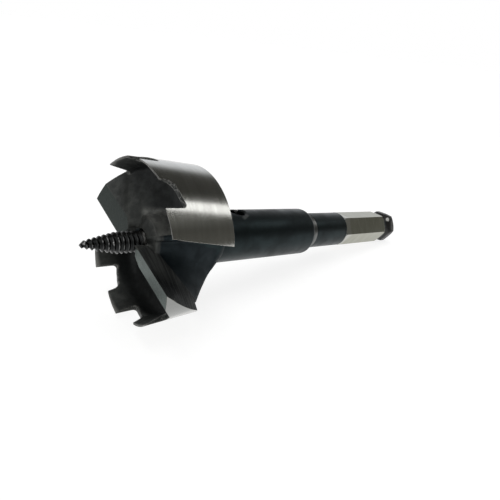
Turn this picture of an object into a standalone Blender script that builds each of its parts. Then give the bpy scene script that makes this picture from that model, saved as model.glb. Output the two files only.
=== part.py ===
# Self-feed wood bit: a toothed cutter head forged in one with its stepped shank, a replaceable
# feed screw in the head, and the set screw that locks it. Metres, +Z up, lying at rest.
#
# The pieces are modelled upright in the bit's own frame: its axis is Z, the tooth tips are at
# height 0, the feed screw points up and the shank goes down. Angles are in degrees, and they grow
# anticlockwise as seen from the feed screw, which is the way the bit turns when it cuts.
# An empty then lays the whole bit on its side, on the rear edge of the rim and a flat of the hex.
import math

import bmesh
import bpy
from mathutils import Matrix, Vector

# Cutter head
TIP_RADIUS = 0.022225          # cutting diameter 44.45 mm, measured at the tooth tips
REAR_RADIUS = 0.02097          # the rim tapers back so that it clears the hole
HEAD_LENGTH = 0.0189           # from the tooth tips to the rear edge of the rim
RIM_WALL = 0.0020
BEVEL_DEPTH = 0.0060           # the teeth are bevelled on the inside from this depth
TOOTH_EDGE = 0.0002            # to this thickness at their tips
REAR_LAND = 0.0016             # width of the flat rear edge of the rim
BACK_RIM_DEPTH = 0.0146        # where the sloping back of the head meets the rim, inside that edge
BACK_DEPTH = 0.0262            # where the sloping back of the head meets the shank
BACK_BULGE = 0.0006            # how far the back stands out between those two
REAR_RELIEF = 0.0158           # the rim's rear corner is cut away from this depth at its leading end
REAR_RELIEF_SPAN = 12.0        # to the rear edge this many degrees behind it
HALVES = (0.0, 180.0)          # the head repeats itself after half a turn

# Lips, the two chisel edges that clear the bottom of the hole
LIP_ANGLE = 140.0              # direction of the first lip's edge
LIP_DEPTH = 0.0003             # the lips follow this far behind the tooth tips
LIP_AHEAD = 0.0018             # the edge runs this far ahead of the bit's centre
LIP_RELIEF = 15.0              # slope of the ground land behind the edge
LAND_INNER = 0.0054            # width of that land at the inner heel corner
LAND_OUTER = 0.0053            # and at the rim
LAND_CORNER = 0.0060           # distance of the inner heel corner from the centre
HEEL_SLOPE = 36.0              # slope of the forged back of the lip
INNER_SLOPE = 64.0             # the same slope close to the screw
HEEL_DROP = 0.0120             # height of that slope, which ends below the bowl's floor

# Chip gaps ahead of the lips
RAKE_TWIST = 2.13e3            # degrees that the rake face turns for each metre of depth
TRAIL_ANGLE = 0.6              # where a rim segment ends behind its last tooth
TRAIL_TWIST = 0.42e3           # slant of that end
CORE_FRONT = 0.0060            # radius of the core in the gap, just behind the boss
CORE_REAR = 0.0077             # and where the gap runs out into the shank
CORE_CORNER = 0.125            # radius between the core and the segment's end, as a share of the core's
SWEEP_START = 0.0062           # depth at which the rake face starts to sweep into the core
SWEEP_RATE = 2.0               # growth of the sweep's radius with depth
SWEEP_MAX = 0.0150
GAP_END = 0.0240               # depth at which the gap runs out on the shank
GAP_RUNOUT = 0.0004            # length over which it runs out
SHANK_SKIN = 0.00005           # the gap stays this far off the shank behind that

# Teeth on each rim segment
TOOTH_ANGLES = (19.0, 63.5, 108.3)   # leading face of each tooth
TEETH_START = -10.0            # the cut of the gullets begins and ends inside the chip gaps
TEETH_END = 150.0
TOOTH_SPAN = 23.0              # length of a tooth, in degrees
TOOTH_RELIEF = 0.0011          # drop of a tooth's land from its tip to its heel
FIRST_TOOTH_RISE = 0.00025     # the first tooth of each segment stands this much ahead of the others
GULLET_DEPTH = 0.0057          # at the foot of a leading face
GULLET_RISE = 0.0010           # the gullet floor rises this much to the next heel
GULLET_ROOT = 0.0010           # radius at the foot of a leading face
GULLET_HEEL = 0.0023           # radius under a heel
FACE_LEAN = 0.3                # lean of a tooth's two end faces, in degrees
GULLET_REACH = 0.0026          # how far in from the tip radius the gullets are cut

# Bowl behind each lip
BOSS_RADIUS = 0.0068           # boss around the feed screw
BOSS_DEPTH = 0.0036            # its face at the bore
BOSS_DROP = 0.0014             # its face slopes back this much
BOWL_START = -14.0             # the cut of the bowl begins and ends inside the chip gaps
BOWL_END = 158.0
BOWL_DEPTH_LIP = 0.0092        # depth of its floor under the lip
BOWL_LEVEL_SPAN = 40.0         # the floor is level for this many degrees behind the lip
BOWL_DEPTH_TRAIL = 0.0118      # and its depth at the far end
BOWL_CORNER = 0.0030           # radius between the bowl's floor and the rim wall
CORE_BOWL = 0.0079             # radius of the core at the bowl's floor
CORE_FOOT = 0.0014             # radius between the core and the bowl's floor
SCREW_WELL = 0.0038            # radius of the well that clears the lips' inner ends

# Shank
FAT_RADIUS = 0.0080
FAT_END = 0.0664
FAT_ROUND = 0.0015             # round on the end of the fat shank
FAT_ROUND_TURN = 80.0          # it turns by this angle before it meets the neck
MID_RADIUS = 0.0063
NECK_RADIUS = 0.0060           # bright turned neck at the foot of the fat shank's round
NECK_LENGTH = 0.0027
NECK_STRAIGHT = 0.6            # share of the neck that is straight, the rest opens to the middle shank
MID_END = 0.0868
MID_ROUND = 0.0005
HEX_FLATS = 0.01111            # 7/16 inch across flats
HEX_ANGLE = 66.1               # direction of one flat, which the set screw shares
GROOVE_START = 0.1130          # groove for a quick-change chuck
GROOVE_WIDTH = 0.0046
GROOVE_FLOOR = 0.0018          # width of its flat floor
GROOVE_RADIUS = 0.0052         # radius of the shank at the bottom of the groove
TAPER_START = 0.1200
SHANK_END = 0.1214
END_RADIUS = 0.0048
BLANK_SPARE = 0.0005           # the round blank stands out past the hexagon's corners by this much

# Feed screw
SCREW_TIP = 0.0124             # how far its point stands ahead of the tooth tips
THREAD_RADIUS = 0.00290
THREAD_PITCH = 0.00127         # 20 threads to the inch
THREAD_DEPTH = 0.00055
THREAD_TAPER = 0.0095          # length of its tapered point
THREAD_BULGE = 0.8             # power of the taper's curve
THREAD_BLUNT = 0.14            # radius at the point, as a share of the full radius
THREAD_POINT = 0.0003          # length of the plain point
THREAD_THIN = 0.35             # greatest depth of the thread near the point, as a share of its radius
THREAD_FLANK = 0.55            # depth of the thread a quarter pitch from its crest, as a share
THREAD_FOOT = 0.0042           # depth at which the thread ends
STEM_RADIUS = 0.00318          # plain quarter-inch stem in the bore
STEM_END = 0.0395
STEM_FLAT = 0.0006             # depth of the flat that the set screw bears on
STEM_FLAT_LENGTH = 0.0090
STEM_CHAMFER = 0.0005
BORE_POINT = 0.6               # depth of the drilled point of its bore, as a share of the bore's radius

# Set screw
SET_DEPTH = 0.0350             # place of the set screw along the shank
SET_RADIUS = 0.0024
SET_TOP = 0.0066               # distance of its outer end from the bit's centre
SET_CHAMFER = 0.0006
SET_SOCKET = 0.0025            # hex key across flats
SET_SOCKET_DEPTH = 0.0016
HOLE_LIP = 0.0005              # countersink at the mouth of its hole
FIT = 0.0003                   # gap between pieces that touch

# How finely round forms are divided
HEAD_STEPS = 72
BORE_STEPS = 32
THREAD_STEPS = 20
THREAD_ROWS = 4
HEX_STEPS = 24
ARC_STEPS = 4
RAKE_STEPS = 6
HUB_STEPS = 5
GAP_STEPS = 14
BOWL_STEPS = 15
TOOTH_STEP = 8.0               # longest step along the teeth, in degrees
SEAM_ANGLE = 1.3               # turned forms start here, off the planes that the cutters use
HEAD_SOLVER = "MANIFOLD"       # the exact solver leaves open edges or nothing where the lips are cut
OVER = 0.0033                  # how far a cutter reaches past what it cuts
APART = 0.0002                 # cutters that would share a face are kept this far apart
OUTSIDE = 0.0300               # radius well outside the head


def polar(radius, angle, height):
    """A point at a radius and an angle in degrees."""
    a = math.radians(angle)
    return Vector((radius * math.cos(a), radius * math.sin(a), height))


def arc(centre, radius, start, end, steps):
    """Points of a flat arc, from a start angle to an end angle in degrees."""
    points = []
    for i in range(steps + 1):
        a = math.radians(start + (end - start) * i / steps)
        points.append((centre[0] + radius * math.cos(a), centre[1] + radius * math.sin(a)))
    return points


def blend(a, b, share):
    return a + (b - a) * share


def clear_scene():
    for obj in list(bpy.data.objects):
        bpy.data.objects.remove(obj, do_unlink=True)


def steel(name, colour, roughness, metallic):
    mat = bpy.data.materials.new(name)
    mat.use_nodes = True
    shader = mat.node_tree.nodes["Principled BSDF"]
    shader.inputs["Base Color"].default_value = (*colour, 1.0)
    shader.inputs["Roughness"].default_value = roughness
    shader.inputs["Metallic"].default_value = metallic
    return mat


def make_object(name, bm, material=None):
    """Turn a bmesh into an object. Without a material it is a cutter and stays out of renders."""
    bmesh.ops.remove_doubles(bm, verts=bm.verts, dist=1e-7)
    bmesh.ops.recalc_face_normals(bm, faces=bm.faces)
    mesh = bpy.data.meshes.new(name)
    bm.to_mesh(mesh)
    bm.free()
    obj = bpy.data.objects.new(name, mesh)
    bpy.context.scene.collection.objects.link(obj)
    if material is None:
        obj.hide_render = True
        obj.display_type = "WIRE"
        return obj
    mesh.materials.append(material)
    mesh.shade_smooth()
    mesh.set_sharp_from_angle(angle=math.radians(30))
    return obj


def lathe(profile, steps):
    """Spin a profile of (radius, height) points around Z. It starts and ends on the axis."""
    bm = bmesh.new()
    verts = [bm.verts.new(polar(r, SEAM_ANGLE, z)) for r, z in profile]
    edges = [bm.edges.new(pair) for pair in zip(verts, verts[1:])]
    bmesh.ops.spin(bm, geom=verts + edges, cent=(0, 0, 0), axis=(0, 0, 1), dvec=(0, 0, 0),
                   angle=2 * math.pi, steps=steps, use_merge=True, use_duplicate=False)
    return bm


def loft(sections):
    """Skin a row of closed outlines that have the same number of points, and cap both ends."""
    bm = bmesh.new()
    rows = [[bm.verts.new(p) for p in outline] for outline in sections]
    count = len(rows[0])
    for a, b in zip(rows, rows[1:]):
        for i in range(count):
            j = (i + 1) % count
            bm.faces.new((a[i], a[j], b[j], b[i]))
    bm.faces.new(list(reversed(rows[0])))
    bm.faces.new(rows[-1])
    bmesh.ops.triangulate(bm, faces=bm.faces)
    return bm


def modify(obj, operation, tool, solver="EXACT"):
    mod = obj.modifiers.new(tool.name, "BOOLEAN")
    mod.operation = operation
    mod.solver = solver
    mod.object = tool


# Cutter body: blank

def blank_profile():
    """The turned outline of the head, before it is cut."""
    inner = REAR_RADIUS - REAR_LAND
    middle = (blend(inner, FAT_RADIUS, 0.5), -blend(BACK_RIM_DEPTH, BACK_DEPTH, 0.5) - BACK_BULGE)
    front = TIP_RADIUS + (TIP_RADIUS - REAR_RADIUS) / HEAD_LENGTH * OVER
    return [
        (0, OVER), (front, OVER), (REAR_RADIUS, -HEAD_LENGTH), (inner, -HEAD_LENGTH),
        (inner, -BACK_RIM_DEPTH), middle, (FAT_RADIUS, -BACK_DEPTH)]


def shank_profile():
    """The fat shank's round end, the neck, the middle shank and the round that becomes the hex."""
    round_centre = (FAT_RADIUS - FAT_ROUND, -FAT_END + FAT_ROUND)
    corner = HEX_FLATS / math.sqrt(3)
    blank = corner + BLANK_SPARE
    groove_middle = -GROOVE_START - GROOVE_WIDTH / 2
    groove_end = -GROOVE_START - GROOVE_WIDTH
    profile = arc(round_centre, FAT_ROUND, 0, -FAT_ROUND_TURN, ARC_STEPS)
    profile += [(NECK_RADIUS, -FAT_END), (NECK_RADIUS, -FAT_END - NECK_LENGTH * NECK_STRAIGHT),
                (MID_RADIUS, -FAT_END - NECK_LENGTH), (MID_RADIUS, -MID_END + MID_ROUND),
                (MID_RADIUS - MID_ROUND, -MID_END), (blank, -MID_END - MID_ROUND)]
    profile += [(blank, -GROOVE_START), (corner, -GROOVE_START),
                (GROOVE_RADIUS, groove_middle + GROOVE_FLOOR / 2),
                (GROOVE_RADIUS, groove_middle - GROOVE_FLOOR / 2),
                (corner, groove_end), (blank, groove_end)]
    profile += [(blank, -TAPER_START), (corner, -TAPER_START), (END_RADIUS, -SHANK_END), (0, -SHANK_END)]
    return profile


def hex_cutter():
    """A round sleeve with a hexagonal hole: what it takes off leaves the six flats."""
    corner = HEX_FLATS / math.sqrt(3)
    top = -MID_END
    bottom = -SHANK_END - OVER
    bm = bmesh.new()
    rings = []
    for height in (top, bottom):
        outer = [bm.verts.new(polar(OUTSIDE / 2, HEX_ANGLE + 30 + 360 * i / HEX_STEPS, height))
                 for i in range(HEX_STEPS)]
        inner = [bm.verts.new(polar(corner, HEX_ANGLE + 30 + 60 * i, height)) for i in range(6)]
        rings.append((outer, inner))
    for a, b in zip(rings[0], rings[1]):
        for i in range(len(a)):
            j = (i + 1) % len(a)
            bm.faces.new((a[i], a[j], b[j], b[i]))
    share = HEX_STEPS // 6
    for outer, inner in rings:
        for i in range(6):
            rim = [outer[(i * share + k) % HEX_STEPS] for k in range(share + 1)]
            bm.faces.new(rim + [inner[(i + 1) % 6], inner[i]])
    return make_object("hex_flats", bm)


# Cutter body: front of the head

def lip_point(along, behind, height, turn):
    """A point by its distance along a lip and behind the centre line that is parallel to it."""
    lip = math.radians(LIP_ANGLE + turn)
    x = along * math.cos(lip) + behind * math.sin(lip)
    y = along * math.sin(lip) - behind * math.cos(lip)
    return Vector((x, y, height))


def wing_keep(turn):
    """The block that stays behind a lip: its ground land, then its forged slope into the bowl."""
    fall = math.tan(math.radians(LIP_RELIEF))
    foot = -BOWL_DEPTH_TRAIL - OVER
    front = -LIP_AHEAD - FIT

    def land(behind):
        return -LIP_DEPTH - fall * (behind + LIP_AHEAD)

    outer_width = blend(LAND_INNER, LAND_OUTER, (OUTSIDE - LAND_CORNER) / (TIP_RADIUS - LAND_CORNER))
    stations = ((-LIP_AHEAD, FIT, INNER_SLOPE), (LAND_CORNER, LAND_INNER, HEEL_SLOPE),
                (OUTSIDE, outer_width, HEEL_SLOPE))
    sections = []
    for along, width, slope in stations:
        heel = width - LIP_AHEAD
        run = HEEL_DROP / math.tan(math.radians(slope))
        outline = [(front, foot), (front, land(front)), (heel, land(heel)),
                   (heel + run, land(heel) - HEEL_DROP), (heel + run, foot - HEEL_DROP)]
        sections.append([lip_point(along, b, h, turn) for b, h in outline])
    return make_object(f"lip_block_{turn:.0f}", loft(sections))


def tooth_line():
    """The rim's front edge as (angle, height) points: teeth, gullets and their radii."""
    per_metre = math.degrees(1.0 / TIP_RADIUS)
    points = [(TEETH_START, FIRST_TOOTH_RISE - TOOTH_RELIEF)]
    for i, lead in enumerate(TOOTH_ANGLES):
        if i > 0:
            points.append((lead - TOOTH_SPAN, -TOOTH_RELIEF))
        points.append((lead, FIRST_TOOTH_RISE if i == 0 else 0.0))
        for s, h in arc((GULLET_ROOT, GULLET_ROOT - GULLET_DEPTH), GULLET_ROOT, 180, 270, ARC_STEPS):
            points.append((lead + FACE_LEAN + s * per_metre, h))
        if i + 1 < len(TOOTH_ANGLES):
            heel_foot = TOOTH_ANGLES[i + 1] - TOOTH_SPAN - FACE_LEAN
            centre = (-GULLET_HEEL, GULLET_RISE + GULLET_HEEL - GULLET_DEPTH)
            for s, h in arc(centre, GULLET_HEEL, -90, 0, ARC_STEPS):
                points.append((heel_foot + s * per_metre, h))
    points.append((TEETH_END, -GULLET_DEPTH))
    return points


def divide(line, longest):
    """Add points along a line of (angle, height) so that no step is longer than an angle."""
    points = [line[0]]
    for a, b in zip(line, line[1:]):
        steps = max(1, math.ceil((b[0] - a[0]) / longest))
        for k in range(1, steps + 1):
            points.append((blend(a[0], b[0], k / steps), blend(a[1], b[1], k / steps)))
    return points


def tooth_cutter(turn):
    """Everything ahead of the teeth, around one rim segment."""
    inner = TIP_RADIUS - GULLET_REACH
    sections = []
    for angle, height in divide(tooth_line(), TOOTH_STEP):
        outline = [(inner, height), (OUTSIDE, height), (OUTSIDE, OVER * 2), (inner, OVER * 2)]
        sections.append([polar(r, angle + turn, h) for r, h in outline])
    return make_object(f"gullets_{turn:.0f}", loft(sections))


def bowl_cutter(turn):
    """The bowl between the boss and the rim, as a row of radial sections."""
    top = OVER * 1.5
    wall = TIP_RADIUS - RIM_WALL
    bevel_top = wall + (RIM_WALL - TOOTH_EDGE) * (BEVEL_DEPTH + top) / BEVEL_DEPTH
    boss = [(SCREW_WELL / 2, top), (SCREW_WELL / 2, -BOSS_DEPTH + APART),
            (BOSS_RADIUS, -BOSS_DEPTH - BOSS_DROP)]
    sections = []
    for i in range(BOWL_STEPS + 1):
        angle = blend(BOWL_START, BOWL_END, i / BOWL_STEPS)
        share = min(max(angle / (LIP_ANGLE - BOWL_LEVEL_SPAN), 0.0), 1.0)
        floor = -blend(BOWL_DEPTH_TRAIL, BOWL_DEPTH_LIP, share)
        foot = arc((CORE_BOWL + CORE_FOOT, floor + CORE_FOOT), CORE_FOOT, 180, 270, ARC_STEPS - 1)
        corner = arc((wall - BOWL_CORNER, floor + BOWL_CORNER), BOWL_CORNER, -90, 0, ARC_STEPS)
        outline = boss + foot + corner + [(wall, -BEVEL_DEPTH), (bevel_top, top)]
        sections.append([polar(r, angle + turn, h) for r, h in outline])
    return make_object(f"bowl_{turn:.0f}", loft(sections))


def front_cutter(turn):
    """Bowl and gullets as one cutter, with the block behind the lip kept out of it."""
    cutter = bowl_cutter(turn)
    modify(cutter, "UNION", tooth_cutter(turn), HEAD_SOLVER)
    modify(cutter, "DIFFERENCE", wing_keep(turn), HEAD_SOLVER)
    return cutter


# Cutter body: chip gaps

def core_radius(depth):
    """Radius of the core between the chip gaps at a depth behind the tooth tips."""
    boss_edge = BOSS_DEPTH + BOSS_DROP
    inside_well = SCREW_WELL - APART
    if depth <= BOSS_DEPTH:
        return inside_well
    if depth <= boss_edge:
        return blend(inside_well, CORE_FRONT, (depth - BOSS_DEPTH) / BOSS_DROP)
    if depth <= GAP_END:
        return blend(CORE_FRONT, CORE_REAR, (depth - boss_edge) / (GAP_END - boss_edge))
    return FAT_RADIUS + SHANK_SKIN


def rake_angle(depth):
    """Direction of the rake face at a depth. It turns back behind the lip."""
    return LIP_ANGLE - 180.0 - RAKE_TWIST * max(depth - LIP_DEPTH, 0.0)


def gap_outline(depth, turn):
    """The chip gap at one depth: rake face, sweep into the core, core, and the segment's end."""
    rake = rake_angle(depth)
    trail = TRAIL_ANGLE - TRAIL_TWIST * depth
    core = core_radius(depth)
    corner = core * CORE_CORNER
    sweep = min(max(SWEEP_RATE * (depth - SWEEP_START), corner), SWEEP_MAX)

    reach = core + sweep
    offset = LIP_AHEAD + sweep
    along = math.sqrt(reach * reach - offset * offset)
    centre_angle = rake + math.degrees(math.atan2(offset, along))
    centre = polar(reach, centre_angle, 0)
    points = [polar(blend(OUTSIDE, along, i / RAKE_STEPS), rake, 0) + polar(LIP_AHEAD, rake + 90, 0)
              for i in range(RAKE_STEPS)]
    for x, y in arc((centre.x, centre.y), sweep, rake - 90, centre_angle - 180, ARC_STEPS * 2):
        points.append(Vector((x, y, 0)))

    corner_angle = trail - math.degrees(math.asin(corner / (core + corner)))
    for i in range(1, HUB_STEPS):
        points.append(polar(core, blend(centre_angle, corner_angle, i / HUB_STEPS), 0))
    centre = polar(core + corner, corner_angle, 0)
    for x, y in arc((centre.x, centre.y), corner, corner_angle + 180, trail + 90, ARC_STEPS):
        points.append(Vector((x, y, 0)))
    points.append(polar(OUTSIDE, trail, 0))
    swing = Matrix.Rotation(math.radians(turn), 4, "Z")
    return [swing @ Vector((p.x, p.y, -depth)) for p in points]


def gap_cutter(turn):
    """One chip gap, open at the front, the side and the back of the head."""
    depths = [-OVER * 2, LIP_DEPTH, BOSS_DEPTH, BOSS_DEPTH + BOSS_DROP]
    depths += [blend(depths[-1], GAP_END, k / GAP_STEPS) for k in range(1, GAP_STEPS + 1)]
    depths += [GAP_END + GAP_RUNOUT, BACK_DEPTH + OVER]
    return make_object(f"chip_gap_{turn:.0f}", loft([gap_outline(d, turn) for d in depths]))


def rear_relief(turn):
    """The wedge taken off the rim's rear corner, beside a rake face."""
    start = rake_angle(REAR_RELIEF)
    end = rake_angle(HEAD_LENGTH) - REAR_RELIEF_SPAN
    slope = (end - start) / (HEAD_LENGTH - REAR_RELIEF)
    beyond = HEAD_LENGTH + OVER
    wedge = [(start - slope * OVER / 2, -REAR_RELIEF + OVER / 2),
             (start + slope * (beyond - REAR_RELIEF), -beyond), (start - slope * OVER / 2, -beyond)]
    inner = REAR_RADIUS - REAR_LAND
    sections = [[polar(r, a + turn, h) for a, h in wedge] for r in (inner, OUTSIDE)]
    return make_object(f"rear_relief_{turn:.0f}", loft(sections))


# Cutter body: holes

def screw_bore():
    """Blind bore for the feed screw's stem, with the well that clears the lips' inner ends."""
    radius = STEM_RADIUS + FIT
    bottom = -STEM_END - FIT
    step = -BOSS_DEPTH + APART / 2
    profile = [(0, OVER * 2), (SCREW_WELL, OVER * 2), (SCREW_WELL, step), (radius, step),
               (radius, bottom), (0, bottom - radius * BORE_POINT)]
    return make_object("screw_bore", lathe(profile, BORE_STEPS))


def place_radially(bm):
    """Turn a form made along Z so that it points out of the shank at the set screw."""
    turn = Matrix.Rotation(math.radians(HEX_ANGLE), 4, "Z") @ Matrix.Rotation(math.radians(90), 4, "Y")
    bmesh.ops.transform(bm, matrix=Matrix.Translation((0, 0, -SET_DEPTH)) @ turn, verts=bm.verts)


def set_hole():
    radius = SET_RADIUS + FIT
    mouth = FAT_RADIUS
    profile = [(0, mouth + OVER), (radius + HOLE_LIP + OVER, mouth + OVER), (radius, mouth - HOLE_LIP),
               (radius, STEM_RADIUS / 2), (0, STEM_RADIUS / 2)]
    bm = lathe(profile, BORE_STEPS)
    place_radially(bm)
    return make_object("set_hole", bm)


def cutter_body(material):
    body = make_object("cutter_body", lathe(blank_profile() + shank_profile(), HEAD_STEPS), material)
    modify(body, "DIFFERENCE", hex_cutter())
    for head_cutter in (front_cutter, gap_cutter, rear_relief):
        for turn in HALVES:
            modify(body, "DIFFERENCE", head_cutter(turn), HEAD_SOLVER)
    modify(body, "DIFFERENCE", screw_bore())
    modify(body, "DIFFERENCE", set_hole())
    return body


# Feed screw

def thread_radius(height, phase):
    """Radius of the thread at a height; phase runs from 0 to 1 over one pitch."""
    share = min(max((SCREW_TIP - height) / THREAD_TAPER, 0.0), 1.0)
    crest = THREAD_RADIUS * blend(THREAD_BLUNT, 1.0, share ** THREAD_BULGE)
    depth = min(THREAD_DEPTH, crest * THREAD_THIN)
    if phase == 0:
        return crest
    return crest - depth * (1.0 if phase >= 0.5 else THREAD_FLANK)


def thread():
    """The threaded part, as rows that climb one pitch in a turn, closed by a point at each end."""
    bm = bmesh.new()
    rise = THREAD_PITCH / THREAD_ROWS
    rows = int((SCREW_TIP + THREAD_FOOT) / rise) - THREAD_ROWS
    grid = []
    for k in range(rows + THREAD_ROWS + 1):
        row = []
        for j in range(THREAD_STEPS):
            height = SCREW_TIP - THREAD_POINT - rise * k - THREAD_PITCH * j / THREAD_STEPS
            radius = thread_radius(height, (k % THREAD_ROWS) / THREAD_ROWS)
            row.append(bm.verts.new(polar(radius, -360 * j / THREAD_STEPS, height)))
        grid.append(row)

    def vert(k, j):
        return grid[k][j] if j < THREAD_STEPS else grid[k + THREAD_ROWS][j - THREAD_STEPS]

    for k in range(rows):
        for j in range(THREAD_STEPS):
            bm.faces.new((vert(k, j), vert(k, j + 1), vert(k + 1, j + 1), vert(k + 1, j)))
    for k, height in ((0, SCREW_TIP), (rows, -THREAD_FOOT - THREAD_PITCH)):
        loop = [vert(k, j) for j in range(THREAD_STEPS + 1)]
        loop += [vert(k + i, 0) for i in range(THREAD_ROWS - 1, 0, -1)]
        apex = bm.verts.new((0, 0, height))
        for a, b in zip(loop, loop[1:] + loop[:1]):
            bm.faces.new((apex, a, b))
    unused = [v for v in bm.verts if not v.link_faces]
    bmesh.ops.delete(bm, geom=unused, context="VERTS")
    return bm


def feed_screw(material):
    neck = -THREAD_FOOT + THREAD_PITCH
    profile = [(0, neck), (THREAD_RADIUS - THREAD_DEPTH, neck),
               (STEM_RADIUS, -THREAD_FOOT), (STEM_RADIUS, -STEM_END + STEM_CHAMFER),
               (STEM_RADIUS - STEM_CHAMFER, -STEM_END), (0, -STEM_END)]
    screw = make_object("feed_screw", lathe(profile, BORE_STEPS), material)
    modify(screw, "UNION", make_object("thread", thread()))
    flat = bmesh.new()
    bmesh.ops.create_cube(flat, size=1.0)
    size = (STEM_FLAT_LENGTH, STEM_RADIUS * 3, STEM_RADIUS)
    bmesh.ops.scale(flat, vec=size, verts=flat.verts)
    lift = STEM_RADIUS - STEM_FLAT + STEM_RADIUS / 2
    bmesh.ops.translate(flat, vec=(0, 0, lift), verts=flat.verts)
    place_radially(flat)
    modify(screw, "DIFFERENCE", make_object("stem_flat", flat))
    return screw


def set_screw(material):
    """Grub screw with a hex socket, its point on the feed screw's flat."""
    bottom = STEM_RADIUS - STEM_FLAT + FIT
    top_chamfer = SET_CHAMFER / 2
    profile = [(0, SET_TOP), (SET_RADIUS - top_chamfer, SET_TOP), (SET_RADIUS, SET_TOP - top_chamfer),
               (SET_RADIUS, bottom + SET_CHAMFER), (SET_RADIUS - SET_CHAMFER, bottom), (0, bottom)]
    bm = lathe(profile, BORE_STEPS)
    place_radially(bm)
    screw = make_object("set_screw", bm, material)
    corner = SET_SOCKET / math.sqrt(3)
    heights = (SET_TOP - SET_SOCKET_DEPTH, SET_TOP + OVER)
    socket = loft([[polar(corner, 60 * i, h) for i in range(6)] for h in heights])
    place_radially(socket)
    modify(screw, "DIFFERENCE", make_object("set_socket", socket))
    return screw


def resting_frame():
    """An empty that lays the bit down: rear rim edge and hex flat on the floor, tip toward -X."""
    taper = (HEX_FLATS / math.sqrt(3) - END_RADIUS) / (SHANK_END - TAPER_START)
    flat_end = TAPER_START + (HEX_FLATS / math.sqrt(3) - HEX_FLATS / 2) / taper
    tilt = math.atan2(REAR_RADIUS - HEX_FLATS / 2, flat_end - HEAD_LENGTH)
    height = REAR_RADIUS * math.cos(tilt) + HEAD_LENGTH * math.sin(tilt)
    front = -SCREW_TIP * math.cos(tilt)
    back = SHANK_END * math.cos(tilt) + END_RADIUS * math.sin(tilt)
    frame = bpy.data.objects.new("resting_frame", None)
    bpy.context.scene.collection.objects.link(frame)
    lay_down = Matrix.Rotation(tilt - math.radians(90), 4, "Y")
    roll = Matrix.Rotation(math.radians(-HEX_ANGLE), 4, "Z")
    frame.matrix_world = Matrix.Translation((-(front + back) / 2, 0, height)) @ lay_down @ roll
    return frame


def main():
    clear_scene()
    black_oxide = steel("black_oxide_steel", (0.020, 0.026, 0.029), 0.42, 0.85)
    thread_black = steel("blackened_thread_steel", (0.014, 0.015, 0.016), 0.36, 0.85)
    socket_black = steel("socket_screw_steel", (0.030, 0.031, 0.034), 0.45, 0.90)
    frame = resting_frame()
    for piece in (cutter_body(black_oxide), feed_screw(thread_black), set_screw(socket_black)):
        piece.parent = frame
    for tool in bpy.data.objects:
        if tool.type == "MESH" and tool.parent is None:
            tool.parent = frame


main()
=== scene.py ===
import math

import bmesh
import bpy
from mathutils import Matrix, Vector


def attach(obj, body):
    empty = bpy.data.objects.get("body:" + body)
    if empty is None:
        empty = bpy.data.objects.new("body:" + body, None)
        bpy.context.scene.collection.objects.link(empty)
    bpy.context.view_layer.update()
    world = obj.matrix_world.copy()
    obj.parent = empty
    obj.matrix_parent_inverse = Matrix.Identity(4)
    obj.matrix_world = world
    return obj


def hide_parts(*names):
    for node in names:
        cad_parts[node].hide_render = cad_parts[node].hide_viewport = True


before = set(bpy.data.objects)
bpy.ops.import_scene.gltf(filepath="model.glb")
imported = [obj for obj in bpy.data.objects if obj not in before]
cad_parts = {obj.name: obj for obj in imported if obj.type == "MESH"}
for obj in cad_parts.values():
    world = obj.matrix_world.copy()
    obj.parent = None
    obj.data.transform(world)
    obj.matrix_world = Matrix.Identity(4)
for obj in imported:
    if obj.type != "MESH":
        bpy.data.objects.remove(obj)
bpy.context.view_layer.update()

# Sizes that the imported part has
TIP_RADIUS = 0.022225
REAR_RADIUS = 0.02097
HEAD_LENGTH = 0.0189
BACK_DEPTH = 0.0262
BOWL_DEPTH = 0.0122            # down to its floor
LIP_ANGLE = 140.0
LIP_DEPTH = 0.0003
LIP_RELIEF = 15.0
SLIVER_REACH = 0.0080          # inside this radius only slivers stand ahead of the lips
RAKE_TWIST = 2.13e3            # degrees per metre down from the lip
RAKE_SPAN = 40.0               # how far a rake face reaches round from its lip, in degrees
GAP_CORE_SPAN = 62.0           # how far the core reaches round behind a rake face, in degrees
CORE_NEAR = 0.0055
CORE_FAR = 0.0088
CORE_TOP = 0.0046
RIM_END_ANGLE = 134.0          # middle of the rim beside a lip, where the rim is painted darker as painted shade
FAT_RADIUS = 0.0080
FAT_START = 0.0267             # clear of the head's back
FAT_END = 0.0664
FAT_ROUND = 0.0016             # round on the fat shank's rear edge
NECK_LENGTH = 0.0027
MID_RADIUS = 0.0063
MID_END = 0.0868
HEX_LEAD = 0.0006              # the hex's lead-in cone lies this far to each side of MID_END
HEX_FLATS = 0.01111
HEX_ANGLE = 66.1
GROOVE_START = 0.1130
TAPER_START = 0.1200
SHANK_END = 0.1214
END_LENGTH = 0.0062            # from the end to the middle of the groove
END_RADIUS = 0.0048
SCREW_TIP = 0.0124
THREAD_RADIUS = 0.00290
THREAD_PITCH = 0.00127
THREAD_DEPTH = 0.00055
THREAD_MOST = 0.35             # the thread is at most this share of the radius deep
THREAD_TAPER = 0.0095
THREAD_START = 0.0003          # the thread starts this far behind the tip
THREAD_BLUNT = 0.22            # share of the radius that is left at the tip
THREAD_FOOT = 0.0042
STEM_RADIUS = 0.00318
STEM_END = 0.0395
SET_DEPTH = 0.0350
HOLE_RADIUS = 0.0027
HOLE_LIP = 0.0005              # bevel round the set screw's hole

# Studio. The strip lamp is the one that the rim mirrors
STRIP_AZIMUTH = -20.1
STRIP_ELEVATION = 42.0
GLOW_AZIMUTH = -31.0           # soft light beside it, on the rim's lower half
BACK_WALL_AZIMUTH = 52.0
SIDE_WALL_AZIMUTH = 140.0
TOP_LIGHT_SPREAD = 50.0
FLOOR_GREY = 0.80
FLOOR_GLOW = 1.22              # brightness of the white that is added to the floor
FLOOR_GLOW_SHARE = 0.7
FLOOR_RADIUS = 6.0

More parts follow.
